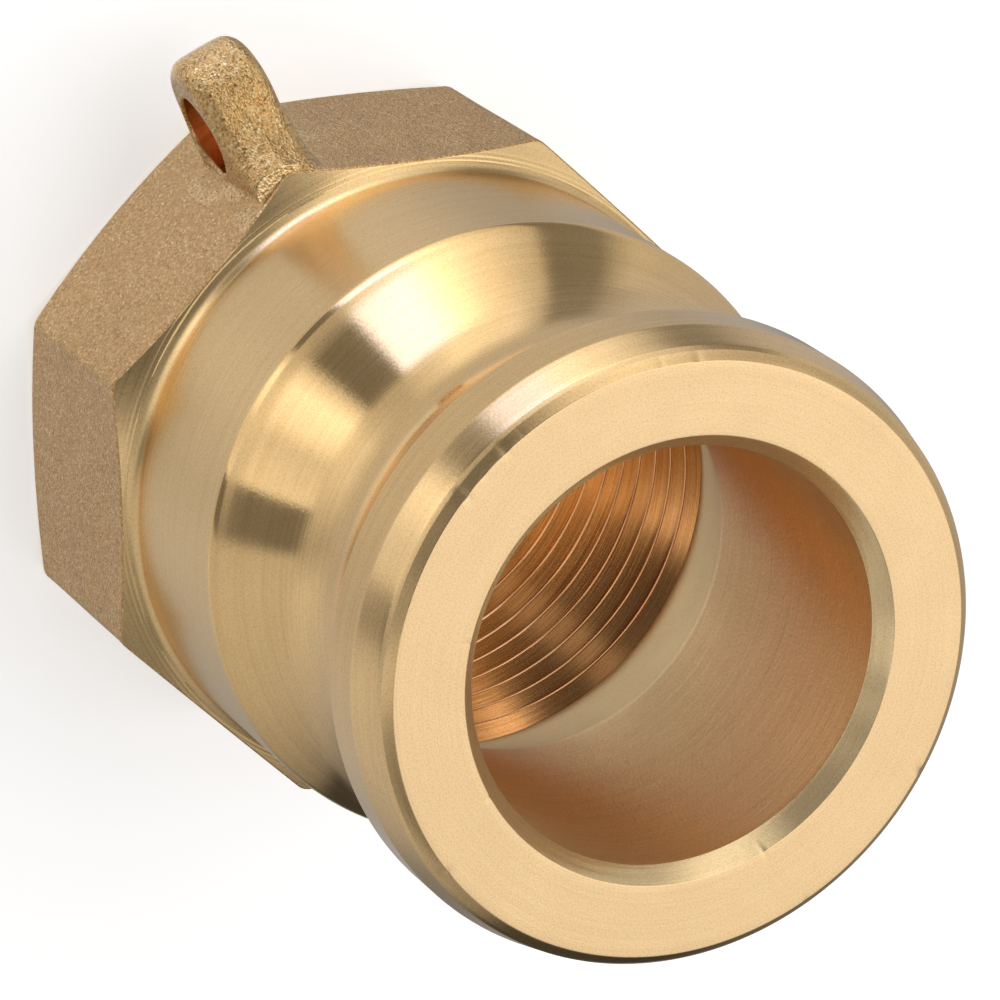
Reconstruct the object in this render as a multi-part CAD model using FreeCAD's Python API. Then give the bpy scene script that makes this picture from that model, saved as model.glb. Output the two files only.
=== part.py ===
import FreeCAD, Part
import math
import os

os.makedirs("parts", exist_ok=True)

V = FreeCAD.Vector

# A 1 inch cam-and-groove adapter in brass, machined from one casting.
# The axis is Z, with the sealing face at the top and the pipe socket below.
# Z is zero in the plane of the lip that the cam arms pull against.
# Depths are millimetres back from the front sealing face.

# overall
LENGTH = 51.0
LIP_DEPTH = 6.1

# head that enters the coupler
HEAD_R = 18.4
FACE_R = 17.2
FACE_CHAMFER_R = 17.7
FACE_CHAMFER_DEPTH = 0.47
LEAD_IN_DEPTH = 3.02
LIP_BREAK = 0.12

# cam groove
GROOVE_R = 15.5
GROOVE_DEPTH = 13.0
SHOULDER_DEPTH = 23.2
SHOULDER_R = 18.7
SHOULDER_ROUND = 1.2

# wrench octagon and its turned chamfers
OCTAGON_APOTHEM = 19.45
OCTAGON_EDGE_ROUND = 1.0
FRONT_CHAMFER_DEPTH = 35.5
FRONT_CHAMFER_SLOPE = 30.0
NECK_FILLET = 1.0
REAR_CHAMFER_DEPTH = 50.9
REAR_CHAMFER_SLOPE = 34.5
REAR_FACE_R = 19.3

# flow passage
BORE_R = 12.13
BORE_END_DEPTH = 20.15
MOUTH_CHAMFER_R = 13.0
MOUTH_CHAMFER_DEPTH = 1.09
RUNOUT_R = 14.9
RUNOUT_DEPTH = 28.6

# 1-11.5 NPT socket, tapered one in sixteen on its diameter
PITCH = 25.4 / 11.5
CREST_R = 14.85
TAPER = 1.0 / 32.0
THREAD_DEPTH = 1.55
CREST_FLAT = 0.26
ROOT_FLAT = 0.18
GROOVE_START_DEPTH = 27.528
GROOVE_START_ANGLE = 347.5
COUNTERSINK_R = 16.9
SOCKET_SEAT_R = 17.45

# lanyard lug on one corner of the octagon
LUG_HOLE_R = 2.5
LUG_HOLE_X = 22.87
LUG_DEPTH = 42.9
LUG_TOP_R = 3.5
LUG_TOP_X = 24.25
LUG_THICKNESS = 4.5
LUG_EDGE_ROUND = 1.4
LUG_FOOT_ROUND = 3.0
LUG_HEEL_ROUND = 0.7
LUG_SPLIT_X = 20.2

BIG = 40.0


def zed(depth):
    return LIP_DEPTH - depth


def pt(r, z):
    return V(r, 0, z)


class Outline:
    def __init__(self, r, z):
        self.first = pt(r, z)
        self.last = self.first
        self.edges = []

    def line(self, r, z):
        end = pt(r, z)
        self.edges.append(Part.makeLine(self.last, end))
        self.last = end
        return self

    def arc(self, mid, end):
        self.edges.append(Part.Arc(self.last, pt(*mid), pt(*end)).toShape())
        self.last = pt(*end)
        return self

    def face(self):
        if self.last.distanceToPoint(self.first) > 1e-7:
            self.edges.append(Part.makeLine(self.last, self.first))
        return Part.Face(Part.Wire(self.edges))

    def turned(self):
        return self.face().revolve(V(0, 0, 0), V(0, 0, 1), 360)


def corner_arc(a, b, c, radius):
    """Start, middle and end of the round of that radius at b, between lines to a and c."""
    ux, uz = a[0] - b[0], a[1] - b[1]
    wx, wz = c[0] - b[0], c[1] - b[1]
    ul, wl = math.hypot(ux, uz), math.hypot(wx, wz)
    ux, uz, wx, wz = ux / ul, uz / ul, wx / wl, wz / wl
    half = math.acos(ux * wx + uz * wz) / 2.0
    reach = radius / math.tan(half)
    bx, bz = ux + wx, uz + wz
    bl = math.hypot(bx, bz)
    away = radius / math.sin(half)
    cx, cz = b[0] + bx / bl * away, b[1] + bz / bl * away
    start = (b[0] + ux * reach, b[1] + uz * reach)
    end = (b[0] + wx * reach, b[1] + wz * reach)
    mid = (cx - bx / bl * radius, cz - bz / bl * radius)
    return start, mid, end


def slab(z_low, z_high, radius=BIG):
    return Part.makeCylinder(radius, z_high - z_low, V(0, 0, z_low))


# ---- the turned outside of the casting ----

TOP = zed(0.0)
BOTTOM = zed(LENGTH)
GROOVE_Z = zed(GROOVE_DEPTH)
SHOULDER_Z = zed(SHOULDER_DEPTH)

# front arc of the groove, from the lip to the groove's floor
front_reach = 0.0 - GROOVE_Z
front_rise = HEAD_R - GROOVE_R
front_r = (front_rise ** 2 + front_reach ** 2) / (2.0 * front_rise)
front_angle = math.asin(front_reach / front_r)
front_c = GROOVE_R + front_r
front_mid = (front_c - front_r * math.cos(front_angle / 2), GROOVE_Z + front_r * math.sin(front_angle / 2))

# rear arc of the groove, rising to the shoulder, and the round between them
rear_reach = GROOVE_Z - SHOULDER_Z
rear_rise = SHOULDER_R - GROOVE_R
rear_r = (rear_rise ** 2 + rear_reach ** 2) / (2.0 * rear_rise)
rear_c = GROOVE_R + rear_r
round_c_r = SHOULDER_R - SHOULDER_ROUND
round_angle = math.acos((rear_c - round_c_r) / (rear_r + SHOULDER_ROUND))
round_c_z = GROOVE_Z - (rear_r + SHOULDER_ROUND) * math.sin(round_angle)
rear_end = (rear_c - rear_r * math.cos(round_angle), GROOVE_Z - rear_r * math.sin(round_angle))
rear_mid = (rear_c - rear_r * math.cos(round_angle / 2), GROOVE_Z - rear_r * math.sin(round_angle / 2))
blend = round_angle / 2.0
round_mid = (round_c_r + SHOULDER_ROUND * math.cos(blend), round_c_z + SHOULDER_ROUND * math.sin(blend))
round_end = (SHOULDER_R, round_c_z)

# concave fillet where the shoulder meets the turned chamfer of the octagon
front_tan = math.tan(math.radians(FRONT_CHAMFER_SLOPE))
rear_tan = math.tan(math.radians(REAR_CHAMFER_SLOPE))
neck_z = zed(FRONT_CHAMFER_DEPTH) + (OCTAGON_APOTHEM - SHOULDER_R) * front_tan
wide_r = 32.0
wide_front_z = zed(FRONT_CHAMFER_DEPTH) - (wide_r - OCTAGON_APOTHEM) * front_tan
wide_rear_z = zed(REAR_CHAMFER_DEPTH) + (wide_r - OCTAGON_APOTHEM) * rear_tan
neck = corner_arc((SHOULDER_R, neck_z + 5), (SHOULDER_R, neck_z), (wide_r, wide_front_z), NECK_FILLET)
rear_face_z = zed(REAR_CHAMFER_DEPTH) - (OCTAGON_APOTHEM - REAR_FACE_R) * rear_tan

outside = Outline(0, TOP)
outside.line(FACE_R, TOP)
outside.line(FACE_CHAMFER_R, zed(FACE_CHAMFER_DEPTH))
outside.line(HEAD_R, zed(LEAD_IN_DEPTH))
outside.line(HEAD_R, LIP_BREAK)
outside.line(HEAD_R - LIP_BREAK, 0.0)
outside.arc(front_mid, (GROOVE_R, GROOVE_Z))
outside.arc(rear_mid, rear_end)
outside.arc(round_mid, round_end)
outside.line(*neck[0])
outside.arc(neck[1], neck[2])
outside.line(wide_r, wide_front_z)
outside.line(wide_r, wide_rear_z)
outside.line(REAR_FACE_R, rear_face_z)
outside.line(REAR_FACE_R, BOTTOM)
outside.line(0, BOTTOM)
turned = outside.turned()

# ---- the cast octagon, with the lug on its +X corner ----

cast_top = neck[0][1] + 0.001
corner_r = OCTAGON_APOTHEM / math.cos(math.pi / 8)
corners = [V(corner_r * math.cos(k * math.pi / 4), corner_r * math.sin(k * math.pi / 4), BOTTOM) for k in range(8)]
octagon = Part.Face(Part.makePolygon(corners + [corners[0]])).extrude(V(0, 0, cast_top - BOTTOM))
uprights = [e for e in octagon.Edges if abs(e.tangentAt(e.FirstParameter).z) > 0.99]
octagon = octagon.makeFillet(OCTAGON_EDGE_ROUND, uprights)

ridge_x = corner_r - OCTAGON_EDGE_ROUND * (1.0 / math.cos(math.pi / 8) - 1.0)
lug_z = zed(LUG_DEPTH)
lug_front = lug_z + LUG_TOP_R
lug_back = lug_z - LUG_TOP_R
root_x = 18.2
diag = math.sqrt(0.5)
side = Outline(root_x, lug_front + LUG_FOOT_ROUND)
side.line(ridge_x, lug_front + LUG_FOOT_ROUND)
foot_c = (ridge_x + LUG_FOOT_ROUND, lug_front + LUG_FOOT_ROUND)
side.arc((foot_c[0] - LUG_FOOT_ROUND * diag, foot_c[1] - LUG_FOOT_ROUND * diag), (foot_c[0], lug_front))
if LUG_TOP_X > foot_c[0] + 1e-6:
    side.line(LUG_TOP_X, lug_front)
side.arc((LUG_TOP_X + LUG_TOP_R, lug_z), (LUG_TOP_X, lug_back))
side.line(ridge_x + LUG_HEEL_ROUND, lug_back)
heel_c = (ridge_x + LUG_HEEL_ROUND, lug_back - LUG_HEEL_ROUND)
side.arc((heel_c[0] - LUG_HEEL_ROUND * diag, heel_c[1] + LUG_HEEL_ROUND * diag), (ridge_x, heel_c[1]))
side.line(root_x, heel_c[1])
lug = side.face()
lug.translate(V(0, -LUG_THICKNESS / 2.0, 0))
lug = lug.extrude(V(0, LUG_THICKNESS, 0))
rims = []
for e in lug.Edges:
    b = e.BoundBox
    flat = b.YLength < 1e-6
    outer = b.XMax > ridge_x + 0.3
    if flat and outer:
        rims.append(e)
lug = lug.makeFillet(LUG_EDGE_ROUND, rims)

cast = octagon.fuse(lug).removeSplitter()
hole = Part.makeCylinder(LUG_HOLE_R, 12.0, V(LUG_HOLE_X, -6.0, lug_z), V(0, 1, 0))
cast = cast.cut(hole)

# what the lathe takes off the octagon: the fillet and chamfer in front, and the chamfer behind
front_waste = Outline(*neck[0])
front_waste.arc(neck[1], neck[2])
front_waste.line(wide_r, wide_front_z)
front_waste.line(wide_r, neck[0][1] + 2.0)
front_waste.line(neck[0][0], neck[0][1] + 2.0)
rear_waste = Outline(REAR_FACE_R, rear_face_z)
rear_waste.line(REAR_FACE_R, BOTTOM - 2.0)
rear_waste.line(wide_r, BOTTOM - 2.0)
rear_waste.line(wide_r, wide_rear_z)
waste = []
for section in (front_waste.face(), rear_waste.face()):
    for k in range(8):
        sector = section.copy()
        sector.rotate(V(0, 0, 0), V(0, 0, 1), 22.5 + 45.0 * k)
        sector = sector.revolve(V(0, 0, 0), V(0, 0, 1), 45.0)
        waste.append(sector.toNurbs())

# ---- the hollow: mouth chamfer, bore, run-out cone and the seat of the threaded socket ----

SOCKET_Z = zed(RUNOUT_DEPTH)
seat_top_r = SOCKET_SEAT_R - (SOCKET_Z - BOTTOM) * TAPER
hollow = Outline(0, TOP + 1.0)
hollow.line(MOUTH_CHAMFER_R + (MOUTH_CHAMFER_R - BORE_R) / MOUTH_CHAMFER_DEPTH, TOP + 1.0)
hollow.line(BORE_R, zed(MOUTH_CHAMFER_DEPTH))
hollow.line(BORE_R, zed(BORE_END_DEPTH))
hollow.line(RUNOUT_R, SOCKET_Z)
hollow.line(seat_top_r, SOCKET_Z)
hollow.line(SOCKET_SEAT_R + TAPER, BOTTOM - 1.0)
hollow.line(0, BOTTOM - 1.0)
hollow = hollow.turned()

body = turned.cut(hollow)

NECK_SPLIT = round_end[1]
BARREL_SPLIT = neck[0][1]
cam_head = body.common(slab(GROOVE_Z, TOP + 5.0))
cam_groove_neck = body.common(slab(NECK_SPLIT, GROOVE_Z))
shoulder_barrel = body.common(slab(BARREL_SPLIT, NECK_SPLIT))
rear_body = cast.common(slab(BOTTOM - 5.0, BARREL_SPLIT))
rear_body = rear_body.cut(waste).cut(hollow)

lug_zone = Part.makeBox(20.0, 16.0, 60.0, V(LUG_SPLIT_X, -8.0, BOTTOM - 5.0))
lanyard_lug = rear_body.common(lug_zone)
wrench_octagon = rear_body.cut(lug_zone)

# ---- the threaded socket ----

crest_top_r = CREST_R - (SOCKET_Z - BOTTOM) * TAPER
ring = Outline(SOCKET_SEAT_R, BOTTOM)
ring.line(seat_top_r, SOCKET_Z)
ring.line(crest_top_r, SOCKET_Z)
sink = COUNTERSINK_R - CREST_R
sink_z = BOTTOM + sink
ring.line(CREST_R - sink * TAPER, sink_z)
ring.line(COUNTERSINK_R, BOTTOM)
ring = ring.turned()

# the groove starts just beyond the inner end of the socket and runs out past the back face
angle = math.degrees(math.atan(TAPER))
start_z = zed(GROOVE_START_DEPTH)
run = start_z - BOTTOM + 1.6
start_crest = CREST_R - (start_z - BOTTOM) * TAPER
helix = Part.makeHelix(PITCH, run, start_crest, angle)
half_mouth = (PITCH - CREST_FLAT) / 2.0
half_root = ROOT_FLAT / 2.0
flank = (half_mouth - half_root) / THREAD_DEPTH
over = 0.04
inside = 0.45
groove_pts = [
    V(start_crest - inside, 0, -half_mouth - over * flank),
    V(start_crest - over, 0, -half_mouth - over * flank),
    V(start_crest + THREAD_DEPTH, 0, -half_root),
    V(start_crest + THREAD_DEPTH, 0, half_root),
    V(start_crest - over, 0, half_mouth + over * flank),
    V(start_crest - inside, 0, half_mouth + over * flank),
]
section = Part.makePolygon(groove_pts + [groove_pts[0]])
groove = Part.Wire(helix).makePipeShell([section], True, True)
groove.rotate(V(0, 0, 0), V(1, 0, 0), 180)
groove.rotate(V(0, 0, 0), V(0, 0, 1), GROOVE_START_ANGLE)
groove.translate(V(0, 0, start_z))
pipe_thread = ring.cut(groove)

pieces = {
    "cam_head": cam_head,
    "cam_groove_neck": cam_groove_neck,
    "shoulder_barrel": shoulder_barrel,
    "wrench_octagon": wrench_octagon,
    "lanyard_lug": lanyard_lug,
    "pipe_thread": pipe_thread,
}
for name, shape in pieces.items():
    solid = shape.Solids[0] if len(shape.Solids) == 1 else shape
    b = solid.BoundBox
    print(name, len(shape.Solids), shape.isValid(), round(shape.Volume, 1),
          [round(x, 2) for x in (b.XMin, b.XMax, b.YMin, b.YMax, b.ZMin, b.ZMax)])

cam_head.exportStep("parts/cam_head.step")
cam_groove_neck.exportStep("parts/cam_groove_neck.step")
shoulder_barrel.exportStep("parts/shoulder_barrel.step")
wrench_octagon.exportStep("parts/wrench_octagon.step")
lanyard_lug.exportStep("parts/lanyard_lug.step")
pipe_thread.exportStep("parts/pipe_thread.step")
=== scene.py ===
import math

import bmesh
import bpy
import numpy as np
from mathutils import Matrix, Vector


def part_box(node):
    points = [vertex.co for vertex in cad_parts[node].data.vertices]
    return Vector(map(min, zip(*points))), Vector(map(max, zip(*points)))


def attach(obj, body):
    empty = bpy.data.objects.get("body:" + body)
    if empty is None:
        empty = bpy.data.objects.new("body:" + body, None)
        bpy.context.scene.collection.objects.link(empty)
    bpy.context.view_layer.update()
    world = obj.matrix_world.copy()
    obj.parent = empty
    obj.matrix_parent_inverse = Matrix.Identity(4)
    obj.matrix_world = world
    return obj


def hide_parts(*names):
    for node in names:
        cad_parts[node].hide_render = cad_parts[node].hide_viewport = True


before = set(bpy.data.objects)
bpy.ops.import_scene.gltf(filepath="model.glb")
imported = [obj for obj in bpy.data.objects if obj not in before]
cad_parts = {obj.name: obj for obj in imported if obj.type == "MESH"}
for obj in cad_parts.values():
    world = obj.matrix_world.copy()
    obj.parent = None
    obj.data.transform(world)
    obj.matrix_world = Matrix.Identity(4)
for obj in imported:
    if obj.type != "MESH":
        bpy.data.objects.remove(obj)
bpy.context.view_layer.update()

# A brass cam-and-groove adapter. Shapes are worked out in millimetres in the
# CAD frame and written to the meshes in metres. Z is the flow axis, with the
# sealing face at the top, and the lanyard lug is on +X.

MM = 0.001
TURN = 2 * math.pi


def low(node, axis):
    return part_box(node)[0][axis] / MM


def high(node, axis):
    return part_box(node)[1][axis] / MM


# heights and radii that the boxes of the CAD nodes give
TOP = high("cam_head", 2)
GROOVE_Z = low("cam_head", 2)
NECK_END = low("cam_groove_neck", 2)
BARREL_END = high("wrench_octagon", 2)
SOCKET_TOP = high("pipe_thread", 2)
BOTTOM = low("pipe_thread", 2)
HEAD_R = high("cam_head", 0)
SHOULDER_R = high("shoulder_barrel", 0)

# Radii, drops and angles that they do not give. A drop is a depth below the
# sealing face.

# head
FACE_R = 17.2
FACE_CHAMFER_R = 17.7
FACE_CHAMFER_DROP = 0.47
LEAD_IN_DROP = 3.02
LEAD_EDGE_DROP = 0.75
LEAD_SLOPE = math.tan(math.radians(12.6))
LIP_BREAK = 0.12
LIP = TOP - 6.1
NICKS_AT = (183.8, 216.3, 196.3, 94.3, 102.0, 14.5, 20.3, 25.3)
MORE_NICKS = 9

# groove and barrel
GROOVE_R = 15.5
GROOVE_DROP = 13.0
SHOULDER_DROP = 23.2
SHOULDER_ROUND = 1.25

# bore
BORE_R = 12.13
BORE_DROP = 20.15
MOUTH_R = 13.0
MOUTH_DROP = 1.09
RUNOUT_R = 14.9

# octagon
OCT_APOTHEM = 19.45
OCT_EDGE = 1.0
OCT_INSET = 0.001
OCT_SOFT = 0.09
FRONT_SLOPE = math.tan(math.radians(30.0))
FRONT_Z = TOP - 35.5
NECK_FILLET = 1.0
REAR_SLOPE = math.tan(math.radians(34.5))
REAR_Z = TOP - 50.9
REAR_R = OCT_APOTHEM + (BOTTOM - REAR_Z) / REAR_SLOPE
CONE_ROWS = 28
FLAT_ROWS = 73
REAR_ROWS = 5
STEP_BAND = 0.7
STEP_DEEP = 0.011
STEP_PITCH = 0.26
CAST_WAVE = 0.05

# thread
SEAT_R = 17.45
TAPER = 1.0 / 32.0
PITCH = 25.4 / 11.5
CREST_R = 14.85
THREAD_DEEP = 1.55
CREST_FLAT = 0.26
ROOT_FLAT = 0.18
CREST_ROUND = 0.03
SINK_R = 16.9
GROOVE_START = TOP - 27.528
GROOVE_ANGLE = math.radians(347.5)

# lug
LUG_Z = TOP - 42.9
LUG_X = 24.25
LUG_R = 3.5
LUG_HALF = 2.25
LUG_EDGE = 0.95
LUG_CROWN = 0.035
LUG_BACK_X = 19.3
LUG_GRID = 0.12
LUG_WAVE = 0.012
FOOT_X = 26.165
FOOT_Z = LUG_Z + 8.3
FOOT_R = 5.0
FOOT_TOP = TOP - 36.5
FOOT_LEAN = 0.55
FOOT_BLEND = 0.25
BODY_GAP = 0.03
CONE_GAP = 0.04
EYE_X = 22.87
EYE_R = 2.5
EYE_EDGE = 0.22


# ------------------------------------------------------------------ helpers


def make_object(name, verts, faces, node, smooth, mats):
    """A mesh from millimetre points, riding the body in place of that CAD node."""
    mesh = bpy.data.meshes.new(name)
    points = np.asarray(verts, float).reshape(-1, 3) * MM
    mesh.from_pydata([tuple(p) for p in points], [], faces)
    mesh.validate()
    mesh.polygons.foreach_set("use_smooth", [True] * len(mesh.polygons))
    mesh.set_sharp_from_angle(angle=math.radians(smooth))
    for m in mats:
        mesh.materials.append(m)
    mesh.update()
    obj = bpy.data.objects.new(name, mesh)
    bpy.context.scene.collection.objects.link(obj)
    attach(obj, "root")
    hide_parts(node)
    return obj


def corner_arc(before, corner, after, radius):
    """Points of the arc that rounds a corner between two straight runs, all in (r, z)."""
    r, z = corner
    ax, az = before[0] - r, before[1] - z
    bx, bz = after[0] - r, after[1] - z
    al, bl = math.hypot(ax, az), math.hypot(bx, bz)
    ax, az, bx, bz = ax / al, az / al, bx / bl, bz / bl
    half = math.acos(max(-1, min(1, ax * bx + az * bz))) / 2
    reach = min(radius / math.tan(half), 0.49 * al, 0.49 * bl)
    radius = reach * math.tan(half)
    mx, mz = ax + bx, az + bz
    out = radius / math.sin(half) / math.hypot(mx, mz)
    cx, cz = r + mx * out, z + mz * out
    a0 = math.atan2(z + az * reach - cz, r + ax * reach - cx)
    a1 = math.atan2(z + bz * reach - cz, r + bx * reach - cx)
    sweep = (a1 - a0 + math.pi) % TURN - math.pi
    steps = max(3, int(abs(sweep) / math.radians(9)))
    angles = [a0 + sweep * k / steps for k in range(steps + 1)]
    return [(cx + radius * math.cos(a), cz + radius * math.sin(a)) for a in angles]


def rounded(points):
    """A closed profile of (r, z, radius), with each corner of non-zero radius as an arc."""
    out = []
    for i, (r, z, radius) in enumerate(points):
        if radius > 0:
            out += corner_arc(points[i - 1], (r, z), points[(i + 1) % len(points)], radius)
        else:
            out.append((r, z))
    return out


def dense(points, step):
    """The closed profile with more points on its long runs."""
    out = []
    for a, b in zip(points, points[1:] + points[:1]):
        count = max(1, int(math.hypot(b[0] - a[0], b[1] - a[1]) / step))
        for j in range(count):
            t = j / count
            out.append((a[0] + (b[0] - a[0]) * t, a[1] + (b[1] - a[1]) * t))
    return out


def grid_faces(n_prof, n_turn):
    """Quads of a closed grid, n_prof points round the profile and n_turn round the axis."""
    faces = []
    for j in range(n_turn):
        j2 = (j + 1) % n_turn
        for i in range(n_prof):
            i2 = (i + 1) % n_prof
            faces.append((j * n_prof + i, j2 * n_prof + i, j2 * n_prof + i2, j * n_prof + i2))
    return faces


def lathe(profile, n_turn):
    """A closed profile, counter-clockwise in (r, z), turned about Z."""
    prof = np.array(profile)
    ang = np.linspace(0, TURN, n_turn, endpoint=False)
    r = prof[None, :, 0]
    z = np.broadcast_to(prof[None, :, 1], (n_turn, len(prof)))
    v = np.stack([r * np.cos(ang)[:, None], r * np.sin(ang)[:, None], z], -1)
    return v, grid_faces(len(prof), n_turn)


def split_materials(obj, rule):
    """Gives each face the material index that rule returns for its centre and normal, in millimetres."""
    for p in obj.data.polygons:
        p.material_index = rule(p.center / MM, p.normal)


# ---------------------------------------------------------------- materials


def new_material(name):
    m = bpy.data.materials.new(name)
    m.use_nodes = True
    nt = m.node_tree
    nt.nodes.clear()
    return m, nt


def add_node(nt, kind, **props):
    n = nt.nodes.new(kind)
    for key, value in props.items():
        setattr(n, key, value)
    return n


def math_node(nt, op, a, b=None, c=None):
    """One sum on numbers or sockets."""
    n = add_node(nt, "ShaderNodeMath", operation=op)
    for i, s in enumerate((a, b, c)):
        if s is None:
            continue
        if isinstance(s, (int, float)):
            n.inputs[i].default_value = s
        else:
            nt.links.new(s, n.inputs[i])
    return n.outputs[0]


def vector_node(nt, parts):
    n = add_node(nt, "ShaderNodeCombineXYZ")
    for i, s in enumerate(parts):
        nt.links.new(s, n.inputs[i])
    return n.outputs[0]


def noise(nt, vec, scale, detail, rough):
    n = add_node(nt, "ShaderNodeTexNoise", noise_dimensions="3D")
    n.inputs["Scale"].default_value = scale
    n.inputs["Detail"].default_value = detail
    n.inputs["Roughness"].default_value = rough
    nt.links.new(vec, n.inputs["Vector"])
    return n.outputs["Fac"]


def ramp(nt, fac, stops):
    n = add_node(nt, "ShaderNodeValToRGB")
    ends = n.color_ramp.elements
    ends[0].position, ends[0].color = stops[0][0], (*stops[0][1], 1)
    ends[1].position, ends[1].color = stops[-1][0], (*stops[-1][1], 1)
    for place, colour in stops[1:-1]:
        ends.new(place).color = (*colour, 1)
    nt.links.new(fac, n.inputs[0])
    return n.outputs["Color"]


def mix_color(nt, fac, a, b, blend="MIX"):
    n = add_node(nt, "ShaderNodeMix", data_type="RGBA", blend_type=blend)
    for i, s in ((0, fac), (6, a), (7, b)):
        if isinstance(s, (int, float)):
            n.inputs[i].default_value = s
        elif isinstance(s, tuple):
            n.inputs[i].default_value = (*s, 1)
        else:
            nt.links.new(s, n.inputs[i])
    return n.outputs[2]


def shader(nt):
    """The material's surface shader, wired to its output."""
    out = add_node(nt, "ShaderNodeOutputMaterial")
    bsdf = add_node(nt, "ShaderNodeBsdfPrincipled")
    nt.links.new(bsdf.outputs[0], out.inputs[0])
    return bsdf


def add_bump(nt, bsdf, height):
    """Bump from a height in millimetres."""
    bump = add_node(nt, "ShaderNodeBump")
    bump.inputs["Strength"].default_value = 1.0
    bump.inputs["Distance"].default_value = MM
    nt.links.new(height, bump.inputs["Height"])
    nt.links.new(bump.outputs[0], bsdf.inputs["Normal"])


def weighted(nt, *pairs):
    """The sum of each socket times its weight."""
    total = None
    for socket, weight in pairs:
        term = math_node(nt, "MULTIPLY", socket, weight)
        total = term if total is None else math_node(nt, "ADD", total, term)
    return total


def turned_material(name, base, dark, rough, aniso, line_scale, line_depth,
                    grain_depth=0.0, metal=1.0, stain=0.35):
    """Brass cut on a lathe: tool lines run round the axis."""
    m, nt = new_material(name)
    bsdf = shader(nt)
    coord = add_node(nt, "ShaderNodeTexCoord").outputs["Object"]
    sep = add_node(nt, "ShaderNodeSeparateXYZ")
    nt.links.new(coord, sep.inputs[0])
    x, y, z = (math_node(nt, "MULTIPLY", s, 1 / MM) for s in sep.outputs)
    square = math_node(nt, "ADD", math_node(nt, "MULTIPLY", x, x), math_node(nt, "MULTIPLY", y, y))
    r = math_node(nt, "SQRT", square)
    r_safe = math_node(nt, "MAXIMUM", r, 0.1)
    cosv = math_node(nt, "DIVIDE", x, r_safe)
    sinv = math_node(nt, "DIVIDE", y, r_safe)
    # moves on evenly along a face, a cylinder or a cone
    along = math_node(nt, "ADD", z, math_node(nt, "MULTIPLY", r, 1.31))

    def round_lines(scale, around, detail, roughness):
        parts = [math_node(nt, "MULTIPLY", s, k) for s, k in ((along, scale), (cosv, around), (sinv, around))]
        return noise(nt, vector_node(nt, parts), 1.0, detail, roughness)

    lines = round_lines(line_scale, 0.9, 4.0, 0.6)
    broad = round_lines(line_scale * 0.12, 1.4, 2.0, 0.5)
    blotch = noise(nt, coord, 260.0, 4.0, 0.6)
    fine = noise(nt, coord, 5200.0, 2.0, 0.5)
    speck = noise(nt, coord, 9500.0, 2.0, 0.6)

    colour = ramp(nt, lines, [(0.25, dark), (0.6, base)])
    patch = math_node(nt, "POWER", blotch, 1.0 + 2.0 * max(0.0, stain - 0.35))
    stained = tuple(c * 0.86 for c in dark)
    colour = mix_color(nt, math_node(nt, "MULTIPLY", patch, stain), colour, stained)
    specks = ramp(nt, speck, [(0.35, (0.85, 0.84, 0.81)), (0.54, (1.0, 1.0, 1.0))])
    nt.links.new(mix_color(nt, 1.0, colour, specks, "MULTIPLY"), bsdf.inputs["Base Color"])
    bsdf.inputs["Metallic"].default_value = metal

    blur = math_node(nt, "ADD", rough - 0.05, math_node(nt, "MULTIPLY", lines, 0.08))
    uneven = math_node(nt, "MULTIPLY", math_node(nt, "SUBTRACT", blotch, 0.5), 0.08)
    nt.links.new(math_node(nt, "ADD", blur, uneven), bsdf.inputs["Roughness"])
    bsdf.inputs["Anisotropic"].default_value = aniso
    if aniso > 0:
        tangent = add_node(nt, "ShaderNodeTangent", direction_type="RADIAL", axis="Z")
        nt.links.new(tangent.outputs[0], bsdf.inputs["Tangent"])
        bsdf.inputs["Anisotropic Rotation"].default_value = 0.25

    height = weighted(nt, (lines, line_depth), (broad, line_depth * 1.5))
    if grain_depth:
        height = math_node(nt, "ADD", height, math_node(nt, "MULTIPLY", fine, grain_depth))
    add_bump(nt, bsdf, height)
    return m


def cast_material(name, base, dark, light, size, depth, rough):
    """Blasted sand-cast brass: a sparkling grain of small facets, size millimetres across."""
    m, nt = new_material(name)
    bsdf = shader(nt)
    coord = add_node(nt, "ShaderNodeTexCoord").outputs["Object"]
    per_m = 1000.0 / size
    cells = add_node(nt, "ShaderNodeTexVoronoi", feature="F1")
    cells.inputs["Scale"].default_value = per_m
    nt.links.new(coord, cells.inputs["Vector"])
    cell_tone = add_node(nt, "ShaderNodeSeparateColor")
    nt.links.new(cells.outputs["Color"], cell_tone.inputs[0])
    grain = noise(nt, coord, per_m * 0.8, 3.0, 0.65)
    pits = noise(nt, coord, per_m * 0.3, 2.0, 0.5)
    stain = noise(nt, coord, 190.0, 4.0, 0.6)

    tone = weighted(nt, (cell_tone.outputs[0], 0.5), (grain, 0.5))
    colour = ramp(nt, tone, [(0.18, dark), (0.48, base), (0.66, base), (0.76, light)])
    stained = tuple(c * 0.8 for c in dark)
    colour = mix_color(nt, math_node(nt, "MULTIPLY", stain, 0.4), colour, stained)
    nt.links.new(colour, bsdf.inputs["Base Color"])
    bsdf.inputs["Metallic"].default_value = 1.0
    blur = math_node(nt, "ADD", rough - 0.1, math_node(nt, "MULTIPLY", pits, 0.22))
    nt.links.new(blur, bsdf.inputs["Roughness"])
    bumps = weighted(nt, (cells.outputs["Distance"], depth * 0.8), (grain, depth), (pits, depth * 1.2))
    add_bump(nt, bsdf, bumps)
    return m


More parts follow.
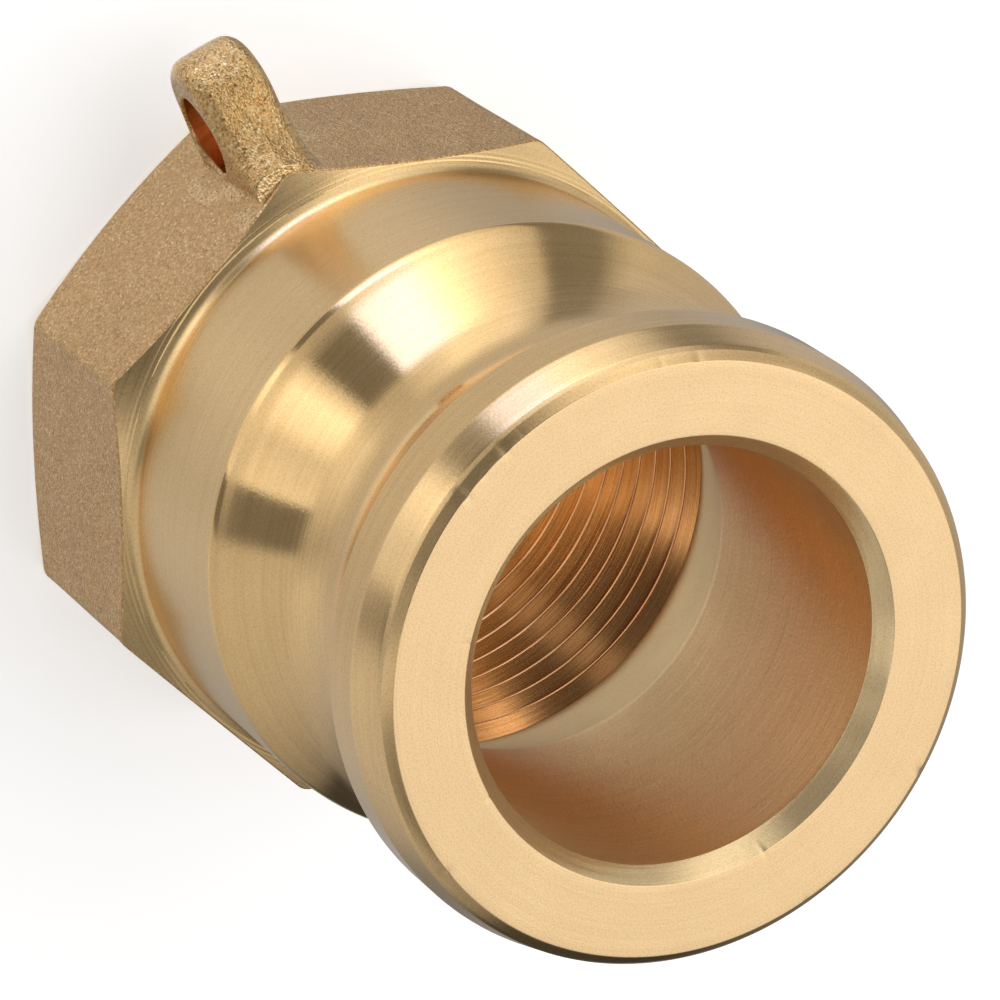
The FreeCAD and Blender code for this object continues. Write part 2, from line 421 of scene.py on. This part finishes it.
face_mat = turned_material(
    "turned_face", (0.94, 0.67, 0.37), (0.87, 0.60, 0.31),
    rough=0.30, aniso=0.0, line_scale=9.0, line_depth=0.004, grain_depth=0.004)
body_mat = turned_material(
    "turned_body", (0.93, 0.635, 0.305), (0.80, 0.52, 0.225),
    rough=0.13, aniso=0.3, line_scale=8.0, line_depth=0.0032, grain_depth=0.0018)
lead_mat = turned_material(
    "turned_lead_in", (0.93, 0.65, 0.33), (0.82, 0.54, 0.25),
    rough=0.22, aniso=0.2, line_scale=8.0, line_depth=0.003, grain_depth=0.003)
barrel_mat = turned_material(
    "turned_barrel", (0.93, 0.655, 0.33), (0.82, 0.55, 0.25),
    rough=0.27, aniso=0.3, line_scale=8.0, line_depth=0.003, grain_depth=0.003)
bore_mat = turned_material(
    "bored_wall", (1.0, 0.74, 0.40), (0.86, 0.59, 0.30),
    rough=0.38, aniso=0.2, line_scale=12.0, line_depth=0.010, grain_depth=0.014, metal=0.84)
matte_mat = turned_material(
    "run_out_cone", (1.0, 0.80, 0.44), (0.96, 0.75, 0.40),
    rough=0.55, aniso=0.0, line_scale=5.0, line_depth=0.002, grain_depth=0.012, metal=0.82)
# The thread's brass is painted redder and more orange than the rest: a painted reflection of the orange
# glints that light takes on as it bounces round the socket.
thread_and_glint_mat = turned_material(
    "cut_thread_painted_glint", (0.96, 0.49, 0.19), (0.62, 0.26, 0.08),
    rough=0.17, aniso=0.3, line_scale=10.0, line_depth=0.006, stain=0.8)
rim_mat = turned_material(
    "mouth_chamfer", (1.0, 0.77, 0.43), (0.90, 0.63, 0.32),
    rough=0.16, aniso=0.2, line_scale=9.0, line_depth=0.005, grain_depth=0.002, metal=0.75)
eye_mat = turned_material(
    "drilled_eye", (0.95, 0.56, 0.26), (0.66, 0.32, 0.12),
    rough=0.26, aniso=0.0, line_scale=3.0, line_depth=0.012, grain_depth=0.004)
cast_mat = cast_material(
    "cast_flats", (0.76, 0.455, 0.185), (0.38, 0.21, 0.08), (1.0, 0.80, 0.46),
    size=0.12, depth=0.036, rough=0.38)
# The cut face on top of the lug's foot: a brighter copy of the cast brass, partly the clean cut metal and
# partly a painted highlight where it catches the light.
foot_cut_and_highlight_mat = cast_material(
    "cut_foot_painted_highlight", (1.0, 0.82, 0.50), (0.72, 0.48, 0.22), (1.0, 0.92, 0.70),
    size=0.18, depth=0.045, rough=0.26)
lug_mat = cast_material(
    "cast_lug", (0.84, 0.525, 0.215), (0.28, 0.15, 0.05), (1.0, 0.82, 0.46),
    size=0.14, depth=0.055, rough=0.27)


# ------------------------------------------------------------ turned pieces


def cone_r(z):
    """Radius of the run-out cone at height z."""
    start = TOP - BORE_DROP
    return BORE_R + (RUNOUT_R - BORE_R) * (start - z) / (start - SOCKET_TOP)


def seat_r(z):
    """Radius where the threaded ring ends and the metal round it begins, at height z."""
    return SEAT_R - (z - BOTTOM) * TAPER


def arc_radius(rise, reach):
    """Radius of the groove arc that climbs rise over a length of reach and starts level."""
    return (rise ** 2 + reach ** 2) / (2 * rise)


def groove_front():
    """The groove's front arc, from its floor up to the lip."""
    reach = LIP - GROOVE_Z
    radius = arc_radius(HEAD_R - GROOVE_R, reach)
    centre = GROOVE_R + radius
    sweep = math.asin(reach / radius)
    angles = [sweep * k / 24 for k in range(24)]
    arc = [(centre - radius * math.cos(a), GROOVE_Z + radius * math.sin(a)) for a in angles]
    return arc + [(HEAD_R - LIP_BREAK, LIP)]


def groove_rear():
    """The groove's rear arc and the shoulder's round, above and below the end of the neck."""
    radius = arc_radius(SHOULDER_R - GROOVE_R, SHOULDER_DROP - GROOVE_DROP)
    centre = GROOVE_R + radius
    round_r = SHOULDER_R - SHOULDER_ROUND
    sweep = math.acos((centre - round_r) / (radius + SHOULDER_ROUND))
    round_z = GROOVE_Z - (radius + SHOULDER_ROUND) * math.sin(sweep)
    pts = [(GROOVE_R, GROOVE_Z)]
    for k in range(1, 41):
        a = sweep * k / 40
        pts.append((centre - radius * math.cos(a), GROOVE_Z - radius * math.sin(a)))
    for k in range(1, 13):
        a = sweep * (1 - k / 12)
        pts.append((round_r + SHOULDER_ROUND * math.cos(a), round_z + SHOULDER_ROUND * math.sin(a)))
    pts[-1] = (SHOULDER_R, round_z)
    upper = [q for q in pts if q[1] > NECK_END + 0.01]
    lower = [q for q in pts if q[1] < NECK_END - 0.01]
    a, b = upper[-1], lower[0]
    t = (a[1] - NECK_END) / (a[1] - b[1])
    joint = (a[0] + (b[0] - a[0]) * t, NECK_END)
    return upper + [joint], [joint] + lower


def add_nicks(v):
    """Handling nicks on the two edges of the front face."""
    rng = np.random.default_rng(11)
    for deg in NICKS_AT + tuple(rng.uniform(0, 360, MORE_NICKS)):
        a = math.radians(deg)
        outer = rng.random() < 0.75
        edge_r = FACE_CHAMFER_R - 0.25 if outer else MOUTH_R
        centre = np.array((edge_r * math.cos(a), edge_r * math.sin(a), TOP - 0.1))
        size = rng.uniform(0.16, 0.32) * (1.0 if outer else 0.55)
        near = np.exp(-((v - centre) ** 2).sum(-1) / size ** 2)
        near = near * (v[:, :, 2] > TOP - 1.4)
        v[:, :, 2] -= near * size * 0.2
        inward = 1 if outer else -1
        v[:, :, :2] *= (1 - near * inward * size * 0.18 / edge_r)[:, :, None]


def head_rule(c, n):
    r = math.hypot(c.x, c.y)
    if n.z > 0.9:
        return 1
    if r < BORE_R + 0.02:
        return 2
    if r < MOUTH_R and c.z > TOP - 2:
        return 3
    if c.z > TOP - LEAD_IN_DROP - 0.1:
        return 4
    return 0


def head_piece():
    profile = rounded([
        (BORE_R, GROOVE_Z, 0),
        *[(r, z, 0) for r, z in groove_front()],
        (HEAD_R, LIP + LIP_BREAK, 0.08),
        (HEAD_R, TOP - LEAD_IN_DROP, 0.8),
        (HEAD_R - (LEAD_IN_DROP - LEAD_EDGE_DROP) * LEAD_SLOPE, TOP - LEAD_EDGE_DROP, 0.3),
        (FACE_CHAMFER_R, TOP - FACE_CHAMFER_DROP, 0.12),
        (FACE_R, TOP, 0.12),
        (MOUTH_R, TOP, 0.10),
        (BORE_R, TOP - MOUTH_DROP, 0.10),
    ])
    v, faces = lathe(dense(profile, 0.4), 1440)
    add_nicks(v)
    mats = (body_mat, face_mat, bore_mat, rim_mat, lead_mat)
    head = make_object("cam_head_ring", v, faces, "cam_head", 25, mats)
    split_materials(head, head_rule)


def neck_rule(c, n):
    if abs(n.z) > 0.98 or math.hypot(c.x, c.y) > 14.0:
        return 0
    return 1 if c.z > TOP - BORE_DROP else 2


def neck_piece():
    profile = [
        (BORE_R, TOP - BORE_DROP),
        (cone_r(NECK_END), NECK_END),
        *groove_rear()[0][::-1],
        (BORE_R, GROOVE_Z),
    ]
    v, faces = lathe(dense(profile, 0.4), 960)
    mats = (body_mat, bore_mat, matte_mat)
    neck = make_object("cam_groove_neck_ring", v, faces, "cam_groove_neck", 25, mats)
    split_materials(neck, neck_rule)


def barrel_rule(c, n):
    r = math.hypot(c.x, c.y)
    if r < 17.0 and c.z > SOCKET_TOP - 0.01:
        return 1
    return 2 if r > SHOULDER_R - 0.1 else 0


def barrel_piece():
    profile = [
        (cone_r(NECK_END), NECK_END),
        (RUNOUT_R, SOCKET_TOP),
        (seat_r(SOCKET_TOP), SOCKET_TOP),
        (seat_r(BARREL_END), BARREL_END),
        (SHOULDER_R, BARREL_END),
        *groove_rear()[1][::-1],
    ]
    v, faces = lathe(dense(profile, 0.5), 960)
    mats = (body_mat, matte_mat, barrel_mat)
    barrel = make_object("shoulder_barrel_ring", v, faces, "shoulder_barrel", 25, mats)
    split_materials(barrel, barrel_rule)


head_piece()
neck_piece()
barrel_piece()


# ---------------------------------------------------------- wrench octagon


def octagon_angles():
    """Angles of the columns, closer together at the corners."""
    angles = []
    for k in range(8):
        corner = k * math.pi / 4
        angles += [corner + math.radians(d) for d in np.arange(-1.8, 1.81, 0.15)]
        angles += [corner + math.radians(d) for d in np.arange(2.3, 42.8, 0.45)]
    return np.array(sorted(a % TURN for a in angles))


def octagon_radius(ang):
    """Radius of the octagon, with rounded corners, at each angle."""
    eighth = math.pi / 8
    local = (ang + eighth) % (2 * eighth) - eighth
    flat = OCT_APOTHEM / np.cos(eighth - np.abs(local))
    centre = (OCT_APOTHEM - OCT_EDGE) / math.cos(eighth)
    span = math.atan2(math.sin(eighth), centre / OCT_EDGE + math.cos(eighth))
    chord = OCT_EDGE ** 2 - (centre * np.sin(local)) ** 2
    arc = centre * np.cos(local) + np.sqrt(np.maximum(chord, 0))
    return np.where(np.abs(local) < span, arc, flat) - OCT_INSET


def front_cone(r):
    """Height of the front chamfer's cone at radius r."""
    return FRONT_Z - (r - OCT_APOTHEM) * FRONT_SLOPE


def rear_cone(r):
    """Height of the rear chamfer's cone at radius r."""
    return REAR_Z + (r - OCT_APOTHEM) * REAR_SLOPE


def wobble(a, z, seed, size):
    """A smooth uneven height from a few seeded waves."""
    rng = np.random.default_rng(seed)
    out = np.zeros(np.broadcast(a, z).shape)
    for _ in range(14):
        ka, kz = rng.integers(1, 26), rng.uniform(-0.55, 0.55)
        out += np.sin(ka * a + kz * z + rng.uniform(0, 6.28)) * rng.uniform(0.4, 1.0)
    return out * size / 4.0


def octagon_column(p, fillet):
    """The section at one angle, where the octagon's radius is p, clockwise in (r, z)."""
    col = [(seat_r(BARREL_END), BARREL_END), (SHOULDER_R, BARREL_END)]
    col += fillet[1:]
    r0 = fillet[-1][0]
    # the front chamfer, with a few tool steps beside the barrel
    for k in range(1, CONE_ROWS + 1):
        t = k / CONE_ROWS
        r = r0 + (p - OCT_SOFT - r0) * t
        fade = max(0.0, 1 - (r - r0) / STEP_BAND) * min(1.0, 6 * (1 - t))
        step = STEP_DEEP * fade * (1 + math.cos(TURN * (r - r0) / STEP_PITCH))
        col.append((r, front_cone(r) - step))
    top = front_cone(p) - OCT_SOFT
    bottom = rear_cone(p) + OCT_SOFT
    col += [(p, top + (bottom - top) * k / (FLAT_ROWS - 1)) for k in range(FLAT_ROWS)]
    for k in range(REAR_ROWS):
        r = p - OCT_SOFT + (REAR_R - p + OCT_SOFT) * k / (REAR_ROWS - 1)
        col.append((r, rear_cone(r)))
    return col + [(REAR_R, BOTTOM), (SEAT_R, BOTTOM)]


def octagon_piece():
    ang = octagon_angles()
    neck_z = FRONT_Z + (OCT_APOTHEM - SHOULDER_R) * FRONT_SLOPE
    above = (SHOULDER_R, neck_z + 6)
    beside = (SHOULDER_R + 3, neck_z - 3 * FRONT_SLOPE)
    fillet = corner_arc(above, (SHOULDER_R, neck_z), beside, NECK_FILLET)
    prof = np.array([octagon_column(p, fillet) for p in octagon_radius(ang)])
    first = 2 + len(fillet) - 1 + CONE_ROWS
    last = first + FLAT_ROWS
    r = prof[:, :, 0]
    z = prof[:, :, 1]
    a = ang[:, None]
    # the flats are a little uneven, away from their edges
    cast = np.zeros_like(r)
    rise = np.minimum(np.linspace(0, 12, FLAT_ROWS), 1)
    cast[:, first:last] = rise * rise[::-1]
    r = r - np.abs(wobble(a, z, 7, CAST_WAVE)) * cast * 0.8
    # the eye's drill touches the corner under the lug
    local = (a + math.pi) % TURN - math.pi
    dz = z - LUG_Z
    cut = EYE_X - np.sqrt(np.maximum(EYE_R ** 2 - dz ** 2, 0))
    touch = (np.abs(dz) < EYE_R) & (np.abs(local) < 0.3)
    r = np.where(touch, np.minimum(r, cut / np.cos(local)), r)
    n = prof.shape[1]
    v = np.stack([r * np.cos(a), r * np.sin(a), z], -1)
    # the section runs clockwise, so its faces are reversed
    faces = [tuple(reversed(q)) for q in grid_faces(n, len(ang))]
    mats = (cast_mat, barrel_mat)
    obj = make_object("wrench_octagon_cast", v, faces, "wrench_octagon", 24, mats)
    index = np.zeros((len(ang), n), int)
    index[:, :first - 1] = 1
    index[:, last - 1:] = 1
    obj.data.polygons.foreach_set("material_index", index.reshape(-1).astype(np.int32))


octagon_piece()


# -------------------------------------------------------------- lanyard lug


def smooth_union(a, b, k):
    return np.maximum(k, np.minimum(a, b)) - np.sqrt(np.maximum(k - a, 0) ** 2 + np.maximum(k - b, 0) ** 2)


def smooth_cut(a, b, k):
    """a without the inside of b, with a rounded edge."""
    return -smooth_union(-a, b, k)


def rounded_both(a, b, radius):
    """The inside of both a and b, with a rounded edge."""
    a, b = a + radius, b + radius
    outside = np.sqrt(np.maximum(a, 0) ** 2 + np.maximum(b, 0) ** 2)
    return np.minimum(np.maximum(a, b), 0) + outside - radius


def plate_field(x, y, z):
    """The upright plate of the lug, with its round end and its foot towards the front."""
    end_x = np.clip(x, 15.0, LUG_X)
    arch = np.sqrt((x - end_x) ** 2 + (z - LUG_Z) ** 2) - LUG_R + LUG_CROWN * y * y
    fx = x - FOOT_X + FOOT_LEAN * np.clip(-y, 0, 3)
    fz = z - FOOT_Z
    sx, sz = LUG_X - FOOT_X, LUG_Z - FOOT_Z
    side = (fx * sz - fz * sx) / math.hypot(sx, sz)
    hollow = np.maximum(FOOT_R - np.sqrt(fx ** 2 + fz ** 2), fz)
    foot = np.maximum(hollow, np.maximum(-side, LUG_Z - z))
    plate = rounded_both(np.minimum(arch, foot), np.abs(y) - LUG_HALF, LUG_EDGE)
    return np.maximum(plate, z - FOOT_TOP)


def lug_field(x, y, z):
    """Distance from the lug's surface, below zero inside."""
    c, s = math.cos(math.pi / 8), math.sin(math.pi / 8)
    body = rounded_both(x * c + y * s - OCT_APOTHEM, x * c - y * s - OCT_APOTHEM, OCT_EDGE) + BODY_GAP
    cone = z - front_cone(np.sqrt(x * x + y * y)) + CONE_GAP
    d = smooth_union(np.maximum(body, cone), plate_field(x, y, z), FOOT_BLEND)
    rng = np.random.default_rng(5)
    for _ in range(10):
        kx, ky, kz = rng.uniform(-1.6, 1.6, 3)
        d = d + LUG_WAVE * np.sin(kx * x + ky * y + kz * z + rng.uniform(0, 6.28))
    eye = np.sqrt((x - EYE_X) ** 2 + (z - LUG_Z) ** 2) - EYE_R
    return np.maximum(smooth_cut(d, eye, EYE_EDGE), LUG_BACK_X - x)


def crossing_cells(d):
    """The cells that the surface crosses, and the mean place of its crossings in each."""
    inside = d < 0
    corners = [(i, j, k) for i in (0, 1) for j in (0, 1) for k in (0, 1)]
    count = np.zeros([n - 1 for n in d.shape], int)
    for c in corners:
        count += inside[tuple(slice(o, n - 1 + o) for o, n in zip(c, d.shape))]
    cells = np.argwhere((count > 0) & (count < 8))
    total = np.zeros((len(cells), 3))
    hits = np.zeros(len(cells))
    for a in corners:
        for b in corners:
            if a > b or sum(abs(p - q) for p, q in zip(a, b)) != 1:
                continue
            da = d[tuple((cells + a).T)]
            db = d[tuple((cells + b).T)]
            cross = (da < 0) != (db < 0)
            t = np.where(cross, da / np.where(cross, da - db, 1), 0)
            place = np.array(a) + t[:, None] * (np.array(b) - np.array(a))
            total += place * cross[:, None]
            hits += cross
    return cells, total / hits[:, None]


def net_faces(inside, number, axis):
    """Quads round the grid edges along one axis that the surface crosses."""
    u, w = (axis + 1) % 3, (axis + 2) % 3
    change = inside != np.roll(inside, -1, axis)
    index = [slice(1, -1)] * 3
    index[axis] = slice(0, -1)
    offset = np.array([1, 1, 1])
    offset[axis] = 0
    pts = np.argwhere(change[tuple(index)]) + offset
    eu, ew = np.eye(3, dtype=int)[u], np.eye(3, dtype=int)[w]
    quad = np.stack([number[tuple((pts + o).T)] for o in (-eu - ew, -ew, 0 * eu, -eu)], 1)
    quad = np.where(inside[tuple(pts.T)][:, None], quad, quad[:, ::-1])
    return [tuple(q) for q in quad[(quad >= 0).all(1)]]


def surface_nets(field, low_corner, high_corner, step):
    """A closed quad mesh of field = 0, with one vertex in each cell that the surface crosses."""
    axes = [np.arange(lo, hi + step, step) for lo, hi in zip(low_corner, high_corner)]
    d = field(*np.meshgrid(*axes, indexing="ij"))
    cells, places = crossing_cells(d)
    number = -np.ones([n - 1 for n in d.shape], int)
    number[tuple(cells.T)] = np.arange(len(cells))
    verts = (cells + places) * step + np.array(low_corner)
    faces = []
    for axis in range(3):
        faces += net_faces(d < 0, number, axis)
    # pull the vertices onto the surface, along the field's gradient
    h = step * 0.3
    for _ in range(2):
        x, y, z = verts.T
        g = np.stack([
            field(x + h, y, z) - field(x - h, y, z),
            field(x, y + h, z) - field(x, y - h, z),
            field(x, y, z + h) - field(x, y, z - h),
        ], 1) / (2 * h)
        off = np.clip(field(x, y, z), -step / 2, step / 2)[:, None]
        verts = verts - off * g / np.maximum((g ** 2).sum(1), 0.25)[:, None]
    return verts, faces


def lug_rule(c, n):
    # the flat cut top of the foot takes the brighter material, partly a painted highlight
    if n.z > 0.9 and abs(c.z - FOOT_TOP) < 0.04 and c.y > -0.7:
        return 2
    if math.hypot(c.x - EYE_X, c.z - LUG_Z) < EYE_R + 0.04 and abs(n.y) < 0.3:
        return 1
    return 0


def lug_piece():
    low_corner = (19.0, -4.6, LUG_Z - 6.2)
    high_corner = (28.2, 4.6, LUG_Z + 8.6)
    verts, faces = surface_nets(lug_field, low_corner, high_corner, LUG_GRID)
    mats = (lug_mat, eye_mat, foot_cut_and_highlight_mat)
    lug = make_object("lanyard_lug_cast", verts, faces, "lanyard_lug", 60, mats)
    split_materials(lug, lug_rule)


lug_piece()


# ------------------------------------------------------------------ thread


def thread_rows():
    """Heights and radii of the helical rows, one column for each angle."""
    ang = np.linspace(0, TURN, 576, endpoint=False)
    half_mouth = (PITCH - CREST_FLAT) / 2
    half_root = ROOT_FLAT / 2
    offs = list(np.linspace(-half_mouth, -half_root, 9)) + list(np.linspace(half_root, half_mouth, 9))
    offs += [half_mouth + CREST_FLAT * t for t in (0.12, 0.3, 0.5, 0.7, 0.88)]
    turns = int((SOCKET_TOP - BOTTOM) / PITCH) + 4
    rows = (np.arange(turns)[:, None] * PITCH + np.array(offs)[None, :]).reshape(-1)
    zero = GROOVE_START - PITCH * GROOVE_ANGLE / TURN
    start = zero - PITCH * math.ceil((zero - BOTTOM) / PITCH + 2)
    climb = PITCH * ang[:, None] / TURN
    z = np.clip(start + rows[None, :] + climb, BOTTOM, SOCKET_TOP)
    off_root = (z - zero - climb + PITCH / 2) % PITCH - PITCH / 2
    crest = CREST_R - (z - BOTTOM) * TAPER
    flank = THREAD_DEEP / (half_mouth - half_root)
    deep = np.clip((half_mouth - np.abs(off_root)) * flank, 0, THREAD_DEEP)
    # the crests are a little rounded over
    off_crest = np.abs(PITCH / 2 - np.abs(off_root)) / (CREST_FLAT / 2)
    deep = deep + CREST_ROUND * np.clip(off_crest, 0, 1) ** 3
    r = np.maximum(crest + deep, SINK_R - (z - BOTTOM))
    return ang, z, r, len(offs)


def thread_sheet():
    """The open sheet of the thread, whose rows join the next turn's where the angle closes."""
    ang, z, r, per = thread_rows()
    turn, n = z.shape
    verts = np.stack([r * np.cos(ang)[:, None], r * np.sin(ang)[:, None], z], -1).reshape(-1, 3)
    faces = []
    for j in range(turn):
        j2 = (j + 1) % turn
        shift = per if j2 == 0 else 0
        for i in range(n - 1 - shift):
            faces.append((j * n + i, j * n + i + 1, j2 * n + i + 1 + shift, j2 * n + i + shift))
    mesh = bpy.data.meshes.new("thread_rows")
    mesh.from_pydata([tuple(p) for p in verts], [], faces)
    bm = bmesh.new()
    bm.from_mesh(mesh)
    bpy.data.meshes.remove(mesh)
    bmesh.ops.remove_doubles(bm, verts=bm.verts, dist=1e-5)
    bmesh.ops.dissolve_degenerate(bm, edges=bm.edges, dist=1e-6)
    bmesh.ops.delete(bm, geom=[x for x in bm.verts if not x.link_faces], context="VERTS")
    return bm


def ring_out(bm, edges, radius, height):
    """One more ring of faces from the open edges to that radius and height."""
    made = bmesh.ops.extrude_edge_only(bm, edges=edges)["geom"]
    for x in made:
        if isinstance(x, bmesh.types.BMVert):
            a = math.atan2(x.co.y, x.co.x)
            x.co = Vector((radius * math.cos(a), radius * math.sin(a), height))
    return [e for e in made if isinstance(e, bmesh.types.BMEdge) and e.is_boundary]


def thread_piece():
    bm = thread_sheet()
    middle = (BOTTOM + SOCKET_TOP) / 2
    open_edges = [e for e in bm.edges if e.is_boundary]
    top = [e for e in open_edges if e.verts[0].co.z > middle]
    bottom = [e for e in open_edges if e.verts[0].co.z < middle]
    top = ring_out(bm, top, seat_r(SOCKET_TOP), SOCKET_TOP)
    bottom = ring_out(bm, bottom, SEAT_R, BOTTOM)
    bmesh.ops.bridge_loops(bm, edges=top + bottom)
    bmesh.ops.recalc_face_normals(bm, faces=bm.faces)
    bm.verts.index_update()
    verts = [tuple(q.co) for q in bm.verts]
    faces = [tuple(q.index for q in p.verts) for p in bm.faces]
    bm.free()
    make_object("pipe_thread_ring", verts, faces, "pipe_thread", 28, (thread_and_glint_mat,))


thread_piece()


# ------------------------------------------------------------------- floor

FLOOR_HALF = 3.0


def studio_floor():
    """A plain pale floor that reflections do not see."""
    at = BOTTOM * MM
    corners = [(x, y, at) for x, y in ((-1, -1), (1, -1), (1, 1), (-1, 1))]
    mesh = bpy.data.meshes.new("floor")
    mesh.from_pydata([(x * FLOOR_HALF, y * FLOOR_HALF, z) for x, y, z in corners], [], [(0, 1, 2, 3)])
    floor = bpy.data.objects.new("floor", mesh)
    bpy.context.scene.collection.objects.link(floor)
    floor.visible_glossy = False
    m, nt = new_material("floor_white")
    bsdf = shader(nt)
    bsdf.inputs["Base Color"].default_value = (0.92, 0.92, 0.92, 1)
    bsdf.inputs["Roughness"].default_value = 0.9
    bsdf.inputs["Emission Color"].default_value = (1, 1, 1, 1)
    bsdf.inputs["Emission Strength"].default_value = 0.46
    mesh.materials.append(m)


studio_floor()


# ------------------------------------------------------------------- light

# The studio is soft panels and dark flags round the part, in rings one above the
# other. Each ring lists (direction round Z in degrees, brightness). The main
# panel stands at -22 to 3 degrees, with flags at 5 to 20 and at 60 to 74, fill
# panels between them, and a dark end of the room beyond 150.
LOW_RING = [
    (-180, 0.40), (-155, 0.30), (-140, 0.28), (-115, 0.46), (-85, 0.46), (-60, 0.58), (-20, 0.62),
    (45, 0.64), (85, 0.54), (105, 0.60), (135, 0.54), (160, 0.42), (180, 0.40)]
KNEE_RING = [
    (-180, 0.30), (-140, 0.36), (-118, 0.50), (-88, 0.58), (-76, 0.48), (-68, 0.28), (-55, 0.28),
    (-50, 0.62), (-40, 1.10), (-16, 1.30), (-8, 1.00), (0, 0.83), (8, 0.58), (16, 0.62), (24, 0.74),
    (32, 1.00), (46, 0.93), (56, 0.76), (64, 0.61), (72, 0.50), (80, 0.62), (88, 0.74), (104, 0.68),
    (120, 0.58), (136, 0.47), (144, 0.37), (152, 0.25), (180, 0.20)]
SIDE_RING = [
    (-180, 0.05), (-140, 0.36), (-118, 0.52), (-90, 0.60), (-79, 0.68), (-74, 0.52), (-69, 0.27),
    (-54, 0.24), (-51, 0.66), (-44, 0.88), (-33, 1.30), (-22, 2.10), (-12, 3.40), (2.5, 3.20),
    (5, 0.25), (19.5, 0.20), (23, 0.95), (29, 1.65), (38, 1.35), (44, 0.90), (54, 1.00), (58.5, 1.10),
    (60.5, 0.22), (73.5, 0.22), (77, 0.62), (88, 0.66), (120, 0.56), (135, 0.43), (146, 0.26),
    (151, 0.06), (180, 0.05)]
MID_RING = [
    (-180, 0.05), (-160, 0.10), (-140, 0.40), (-118, 0.52), (-72, 0.50), (-54, 0.50), (-40, 0.90),
    (-20, 1.25), (-6, 1.10), (0, 0.95), (8, 0.58), (16, 0.60), (24, 0.77), (32, 1.00), (42, 1.00),
    (56, 0.76), (64, 0.56), (76, 0.52), (90, 0.60), (130, 0.52), (146, 0.30), (152, 0.06), (180, 0.05)]
HIGH_RING = [
    (-180, 0.45), (-120, 0.75), (-85, 1.00), (-66, 0.60), (-52, 0.85), (-38, 1.30), (-20, 1.10),
    (-8, 0.60), (2, 0.20), (25, 0.22), (38, 0.34), (48, 0.26), (57, 0.48), (66, 0.36), (76, 0.70),
    (87, 0.72), (97, 0.38), (116, 0.24), (136, 0.24), (146, 0.50), (158, 0.52), (170, 0.30),
    (180, 0.45)]
TOP_RING = [
    (-180, 0.85), (-165, 0.95), (-150, 1.20), (-100, 1.40), (-62, 1.50), (-36, 1.50), (-31, 0.24),
    (-24, 0.10), (-2, 0.10), (3, 0.40), (14, 0.40), (19, 0.12), (60, 0.10), (70, 0.20), (76, 1.10),
    (83, 1.00), (89, 0.52), (96, 0.48), (116, 0.50), (150, 0.50), (165, 0.70), (180, 0.85)]
NADIR = 1.1
ZENITH = 1.25
PEAK = 3.8
# the brightest panels are a little cool: red and green stop sooner than blue
COOL = (1.80, 2.05, 3.40)


def studio_light():
    world = bpy.data.worlds.new("studio")
    bpy.context.scene.world = world
    world.use_nodes = True
    nt = world.node_tree
    nt.nodes.clear()
    out = add_node(nt, "ShaderNodeOutputWorld")
    back = add_node(nt, "ShaderNodeBackground")
    nt.links.new(back.outputs[0], out.inputs[0])
    sep = add_node(nt, "ShaderNodeSeparateXYZ")
    nt.links.new(add_node(nt, "ShaderNodeTexCoord").outputs["Generated"], sep.inputs[0])
    round_z = math_node(nt, "ARCTAN2", sep.outputs[1], sep.outputs[0])
    round_z = math_node(nt, "MULTIPLY_ADD", round_z, 1 / TURN, 0.5)
    lift = math_node(nt, "ARCSINE", sep.outputs[2])
    lift = math_node(nt, "MULTIPLY", lift, 180 / math.pi)

    def ring(table, limit=(PEAK, PEAK, PEAK)):
        stops = [((a + 180) / 360, tuple(min(b, c) / PEAK for c in limit)) for a, b in table]
        return ramp(nt, round_z, stops)

    def above(sky, lo, hi, upper):
        """Changes from sky to upper between two heights in degrees."""
        n = add_node(nt, "ShaderNodeMapRange", interpolation_type="SMOOTHSTEP")
        nt.links.new(lift, n.inputs["Value"])
        n.inputs["From Min"].default_value = lo
        n.inputs["From Max"].default_value = hi
        return mix_color(nt, n.outputs["Result"], sky, upper)

    sky = above((NADIR / PEAK,) * 3, -76.0, -66.0, ring(LOW_RING))
    sky = above(sky, -58.0, -49.0, ring(KNEE_RING))
    sky = above(sky, -40.0, -34.0, ring(SIDE_RING, COOL))
    sky = above(sky, -4.0, 4.0, ring(MID_RING))
    sky = above(sky, 8.0, 18.0, ring(HIGH_RING))
    sky = above(sky, 38.0, 50.0, ring(TOP_RING))
    sky = above(sky, 68.0, 80.0, (ZENITH / PEAK,) * 3)
    nt.links.new(sky, back.inputs[0])
    back.inputs[1].default_value = PEAK


studio_light()


# ------------------------------------------------------------------- camera

CAM_LENS = 210.97
CAM_SENSOR = 36.0
CAM_AT = Vector((155.254, 75.637, 275.887)) * MM
CAM_RIGHT = Vector((-0.360588, -0.839781, 0.405887))
CAM_UP = Vector((0.816392, -0.494619, -0.298088))


def studio_camera():
    data = bpy.data.cameras.new("camera")
    data.lens = CAM_LENS
    data.sensor_width = CAM_SENSOR
    data.clip_start = 0.01
    data.clip_end = 20.0
    cam = bpy.data.objects.new("camera", data)
    bpy.context.scene.collection.objects.link(cam)
    bpy.context.scene.camera = cam
    columns = (CAM_RIGHT, CAM_UP, CAM_RIGHT.cross(CAM_UP), CAM_AT)
    cam.matrix_world = Matrix([[c[i] for c in columns] for i in range(3)] + [[0, 0, 0, 1]])


studio_camera()

view = bpy.context.scene.view_settings
view.view_transform = "Standard"
view.look = "None"
view.exposure = 0.0
